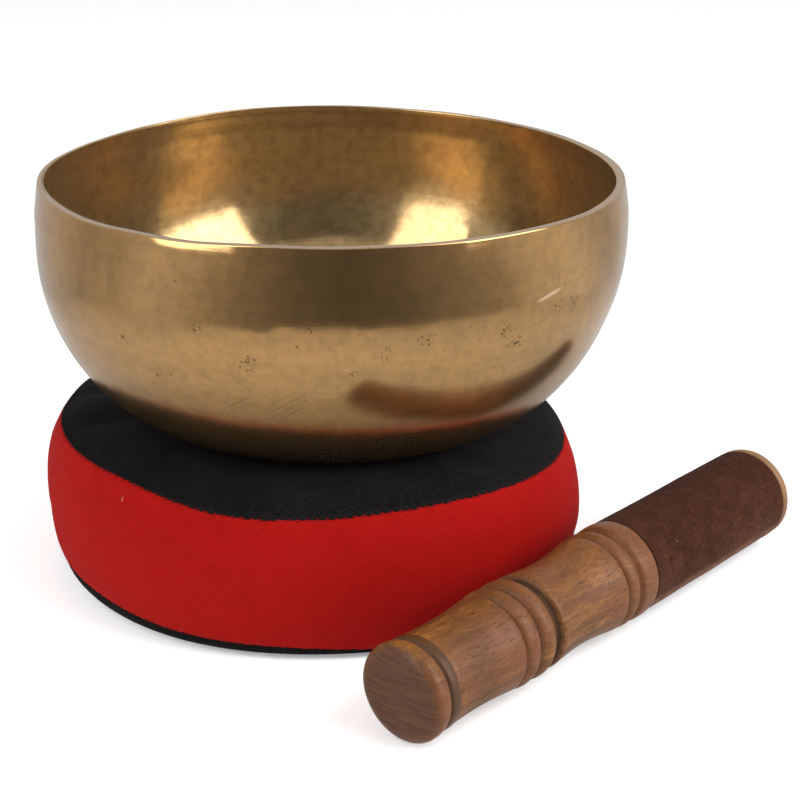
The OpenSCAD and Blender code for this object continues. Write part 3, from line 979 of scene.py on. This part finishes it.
def wood_material():
    """Waxed hardwood, its grain along the mallet: streaks, pores, reddish clouds, and painted shade in the
    grooves.
    """
    s = Shader("rosewood")
    x, y, z = s.parts()
    swirl = s.noise(28, 3, 0.5)
    bent_y = s.math("ADD", y, s.times(swirl, 0.010))
    bent_z = s.math("ADD", z, s.times(x, 0.06))
    layers = s.combine(s.times(x, 12.0), s.times(bent_y, 90.0), s.times(bent_z, 420.0))
    streaks = s.noise(1.0, 6, 0.62, 0.3, layers)
    fibres = s.stretched_noise((130, 2100, 2100), 4, 0.7)
    pores = s.stretched_noise((300, 3000, 3000), 3, 0.6)
    curls = s.stretched_noise((170, 420, 420), 5, 0.7, 1.5)
    blotches = s.stretched_noise((45, 260, 260), 5, 0.6, 0.6)
    clouds = s.noise(36, 4, 0.6)
    tan, brown, plum = (0.232, 0.096, 0.022), (0.096, 0.035, 0.0085), (0.145, 0.050, 0.020)
    dark = (0.030, 0.011, 0.004)
    colour = s.mix(s.ramp(streaks, [(0.40, 1), (0.60, 0)]), tan, brown)
    colour = s.mix(s.ramp(blotches, [(0.38, 0.8), (0.50, 0)]), colour, brown)
    colour = s.mix(s.ramp(clouds, [(0.45, 0), (0.62, 0.8)]), colour, plum)
    colour = s.mix(s.ramp(curls, [(0.36, 0.6), (0.5, 0)]), colour, brown)
    colour = s.mix(s.ramp(fibres, [(0.35, 0.6), (0.52, 0)]), colour, brown)
    colour = s.mix(s.ramp(pores, [(0.34, 0.85), (0.42, 0)]), colour, dark)
    radius = s.math("SQRT", s.math("ADD", s.times(y, y), s.times(z, z)))
    before_sleeve = s.math("LESS_THAN", x, SLEEVE_FROM - 2 * MM)
    groove = s.ramp(s.times(radius, 40.0), [(0.484, 1), (0.515, 0)])
    off_face = s.math("GREATER_THAN", x, 12 * MM)
    groove = s.times(s.times(groove, before_sleeve), off_face)
    ring = s.ramp(s.times(x, 50.0), [(0.285, 0), (0.31, 1), (0.455, 1), (0.48, 0)])
    # Painted shade in the grooves between the beads, then a darker band by the knob.
    colour = s.mix(s.times(groove, 0.85), colour, (0.030, 0.013, 0.005))
    colour = s.mix(s.times(ring, 0.85), colour, (0.050, 0.022, 0.009))
    face = s.ramp(s.times(x, 250.0), [(0.0, 1), (0.6, 0)])
    sawn = s.ramp(s.stretched_noise((60, 70, 1500), 4, 0.65), [(0.40, 0), (0.62, 1)])
    sawn_wood = s.mix(sawn, (0.038, 0.0135, 0.0066), (0.082, 0.033, 0.0135))
    colour = s.mix(s.times(face, 0.85), colour, sawn_wood)
    raw_end = s.math("GREATER_THAN", x, SLEEVE_TO - 0.5 * MM)
    raw_wood = s.mix(s.ramp(clouds, [(0.42, 0), (0.6, 1)]), (0.27, 0.15, 0.066), (0.16, 0.080, 0.040))
    colour = s.mix(s.times(raw_end, 0.85), colour, raw_wood)
    roughness = s.math("MULTIPLY_ADD", fibres, 0.22, 0.30)
    roughness = s.math("MULTIPLY_ADD", groove, 0.3, roughness, True)
    normal = s.bump(fibres, 0.05 * MM)
    normal = s.bump(s.ramp(pores, [(0.30, 0), (0.42, 1)]), 0.04 * MM, normal)
    values = {"Base Color": colour, "Roughness": roughness, "Normal": normal, "Specular IOR Level": 0.23}
    return s.finish(values)


def suede_material(seam_angle):
    """Dark brown suede: brushed nap in patches, pale specks, and a pale rubbed line at the wrap's seam."""
    s = Shader("suede")
    _, y, z = s.parts()
    patches = s.noise(330, 6, 0.72, 0.4)
    blots = s.noise(130, 3, 0.6)
    broad = s.noise(42, 4, 0.6)
    nap = s.noise(1300, 4, 0.8)
    dark, brown, rubbed = (0.031, 0.0108, 0.0060), (0.068, 0.0238, 0.0132), (0.20, 0.11, 0.075)
    colour = s.mix(s.ramp(patches, [(0.32, 0), (0.7, 1)]), dark, brown)
    colour = s.mix(s.ramp(blots, [(0.42, 0.45), (0.56, 0)]), colour, dark)
    colour = s.mix(s.ramp(broad, [(0.45, 0), (0.7, 0.5)]), colour, (0.095, 0.036, 0.0215))
    colour = s.mix(s.ramp(nap, [(0.42, 0.7), (0.55, 0)]), colour, (0.020, 0.007, 0.004))
    angle = s.math("ARCTAN2", z, y)
    away = s.math("ABSOLUTE", s.math("SUBTRACT", angle, seam_angle))
    line = s.ramp(s.times(away, 4.0), [(0.0, 1), (0.35, 0.6), (0.9, 0)])
    scuffed = s.times(line, s.ramp(s.noise(260, 4, 0.7), [(0.3, 0.25), (0.6, 1)]))
    colour = s.mix(s.times(scuffed, 0.7), colour, rubbed)
    colour = s.mix(s.times(lint(s, 330, 0.06, 0.07), 0.55), colour, (0.30, 0.22, 0.16))
    normal = s.bump(nap, 0.12 * MM)
    normal = s.bump(patches, 0.25 * MM, normal)
    values = {"Base Color": colour, "Roughness": 0.95, "Normal": normal, "Specular IOR Level": 0.05,
              "Sheen Weight": 0.03, "Sheen Roughness": 0.4, "Sheen Tint": (0.75, 0.5, 0.4, 1)}
    return s.finish(values)


# ---------------------------------------------------------------- studio

def plain_material(name, colour, glow):
    s = Shader(name)
    grain = s.noise(6, 2, 0.5)
    shade = s.mix(grain, colour, tuple(0.985 * c for c in colour))
    values = {"Base Color": shade, "Roughness": 0.9, "Specular IOR Level": 0.1,
              "Emission Color": (1, 1, 1, 1), "Emission Strength": glow}
    return s.finish(values)


def staged_sheet(name, corners, faces, material):
    sheet = mesh_object(name, corners, faces, False)
    sheet.data.materials.append(material)
    return sheet


def mirrored_only(card):
    """Lets only glossy surfaces see a card, as the cards a photographer hides outside the picture."""
    card.visible_camera = False
    card.visible_diffuse = False
    card.visible_shadow = False
    card.visible_transmission = False


# Brightness of the room as the bowl shows it: azimuth in degrees from -Y towards +X, and radiance.
ROOM = [(-180, 0.56), (-115, 0.66), (-98, 0.50), (-80, 0.60), (-64, 0.84), (-50, 0.66), (-38, 0.40),
        (-12, 0.17), (6, 0.10), (26, 0.15), (45, 0.31), (62, 0.44), (74, 0.80), (97, 0.97),
        (110, 0.72), (122, 0.54), (135, 0.68), (180, 0.58)]
# The same of the lit paper round the set: twice the distance from the cushion's middle in metres, and
# radiance; and how much darker it is behind, over the share of a turn.
# The lowest values, next to the cushion, are painted shade of the paper there, seen only in reflections.
PAPER = [(0.165, 0.30), (0.2, 0.48), (0.27, 0.78), (0.4, 0.93), (0.6, 0.74)]
BEHIND = [(0.18, 0.8), (0.30, 1), (0.70, 1), (0.82, 0.86)]


def room_material(name, near_edge):
    """Glows by azimuth like the room, and inside near_edge like the lit paper."""
    s = Shader(name)
    x, y, _ = s.parts()
    azimuth = s.math("ARCTAN2", x, s.times(y, -1.0))
    share = s.math("MULTIPLY_ADD", azimuth, 1 / TURN, 0.5)
    far = s.ramp(share, [((degrees + 180) / 360, light) for degrees, light in ROOM])
    radius = s.math("SQRT", s.math("ADD", s.times(x, x), s.times(y, y)))
    near = s.mix(1.0, s.ramp(s.times(radius, 2.0), PAPER), s.ramp(share, BEHIND), "MULTIPLY")
    edge = s.math("MULTIPLY_ADD", radius, 120.0, -120.0 * near_edge, True)
    values = {"Base Color": (0, 0, 0, 1), "Roughness": 1.0, "Specular IOR Level": 0.0,
              "Emission Color": s.mix(edge, near, far), "Emission Strength": 1.0}
    return s.finish(values)


def ring_wall(name, radius, low, high, start, stop, material):
    """Upright wall along an arc round the set, between two azimuths."""
    steps = 48
    corners = []
    for i in range(steps + 1):
        turn = math.radians(start + (stop - start) * i / steps)
        x, y = radius * math.sin(turn), -radius * math.cos(turn)
        corners += [(x, y, low), (x, y, high)]
    faces = [(2 * i, 2 * i + 2, 2 * i + 3, 2 * i + 1) for i in range(steps)]
    wall = staged_sheet(name, corners, faces, material)
    mirrored_only(wall)
    return wall


def softbox(name, azimuth, elevation, distance, width, height, power, mirrored=True):
    """Rectangular light aimed at the bowl. Azimuth runs from -Y towards +X."""
    turn, rise = math.radians(azimuth), math.radians(elevation)
    target = Vector((BOWL_X, 0, 0.08))
    away = Vector((math.sin(turn) * math.cos(rise), -math.cos(turn) * math.cos(rise), math.sin(rise)))
    light = bpy.data.lights.new(name, "AREA")
    light.shape = "RECTANGLE"
    light.size, light.size_y = width, height
    light.energy = power
    lamp = bpy.data.objects.new(name, light)
    lamp.location = target + away * distance
    lamp.rotation_euler = (-away).to_track_quat("-Z", "Y").to_euler()
    bpy.context.scene.collection.objects.link(lamp)
    lamp.visible_glossy = mirrored
    return lamp


def make_studio():
    far = 6.0
    below = -0.2 * MM
    square = [(-far, -far), (far, -far), (far, far), (-far, far)]
    paper = plain_material("paper", (0.82, 0.82, 0.82), 0.26)
    staged_sheet("floor", [(x, y, below) for x, y in square], [(0, 1, 2, 3)], paper)
    room = room_material("room", 0.297)
    mirrored = staged_sheet("mirrored_floor", [(x, y, below / 2) for x, y in square], [(0, 1, 2, 3)], room)
    mirrored_only(mirrored)
    ring_wall("mirrored_room", 1.5, 0.0, 0.15, -180, 180, room)
    front = ring_wall("dark_front", 1.45, 0.0, 1.2, -34, 50, room)
    front.visible_diffuse = True
    softbox("right_softbox", 67, 30, 0.95, 0.66, 0.84, 8.6)
    softbox("left_softbox", -49, 30, 0.95, 0.50, 0.84, 5.2)
    softbox("right_fill", 67, 38, 1.0, 0.60, 0.60, 3.9, False)
    softbox("left_fill", -49, 38, 1.0, 0.50, 0.60, 1.9, False)
    world = bpy.data.worlds.new("studio")
    world.use_nodes = True
    background = world.node_tree.nodes["Background"]
    background.inputs["Color"].default_value = (1, 1, 1, 1)
    background.inputs["Strength"].default_value = 0.72
    scene = bpy.context.scene
    scene.world = world
    scene.view_settings.view_transform = "Standard"
    scene.view_settings.look = "None"


def make_camera():
    camera = bpy.data.cameras.new("camera")
    camera.sensor_width = 36
    camera.lens = 78.45
    camera.clip_start = 0.01
    holder = bpy.data.objects.new("camera", camera)
    holder.location = (0.026, -0.500, 0.2424)
    holder.rotation_euler = (math.radians(90 - 21.37), 0, 0)
    bpy.context.scene.collection.objects.link(holder)
    bpy.context.scene.camera = holder


make_camera()
make_bowl()
make_cushion()
make_mallet()
make_sleeve()
make_studio()
